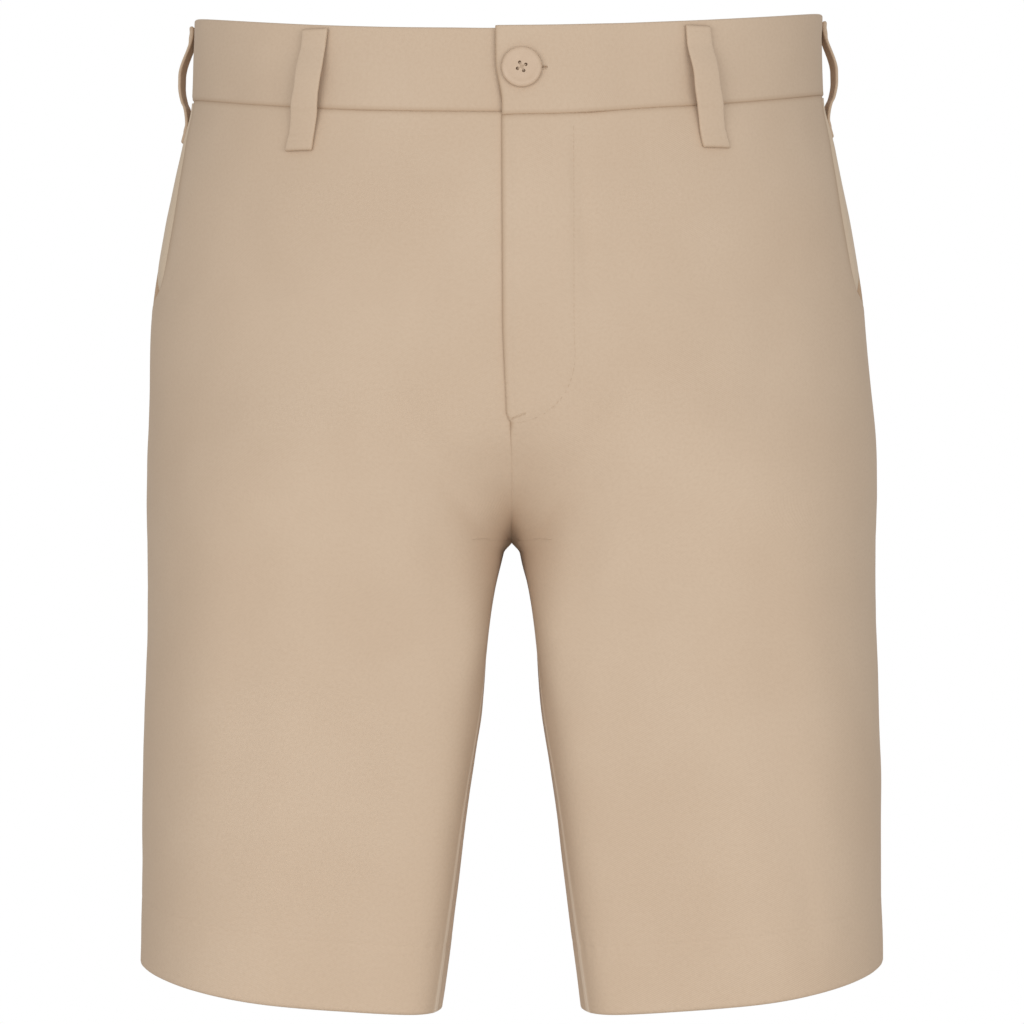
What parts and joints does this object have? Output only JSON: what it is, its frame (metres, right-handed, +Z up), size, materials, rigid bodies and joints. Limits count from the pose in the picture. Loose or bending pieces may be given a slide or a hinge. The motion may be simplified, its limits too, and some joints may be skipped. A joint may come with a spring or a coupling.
{
  "type": "bermuda shorts",
  "caption": "Men's flat-front bermuda shorts, filled out as worn, with a buttoned waistband, belt loops, a zip fly and slanting side pockets.",
  "frame": {"origin": "centre of the waist opening, half way up the waistband at the sides, where the wearer's waist holds the shorts", "axes": "+X to the wearer's left, -Y to the front, +Z up towards the waist"},
  "size_m": [0.3658, 0.2568, 0.4912],
  "materials": {
    "twill": "matte cotton twill, beige",
    "facing": "matte cotton twill, beige",
    "zip_tape": "woven tape, beige",
    "button": "moulded, satin, beige"
  },
  "bodies": {
    "root": {"front_left": "twill", "front_right": "twill", "back_left": "twill", "back_right": "twill", "waistband_left": "twill", "waistband_right": "twill", "loop_front_left": "twill", "loop_front_right": "twill", "loop_side_left": "twill", "loop_side_right": "twill", "loop_back": "twill", "pocket_facing_left": "facing", "pocket_facing_right": "facing", "zip": "zip_tape", "button": "button"}
  },
  "joints": []
}
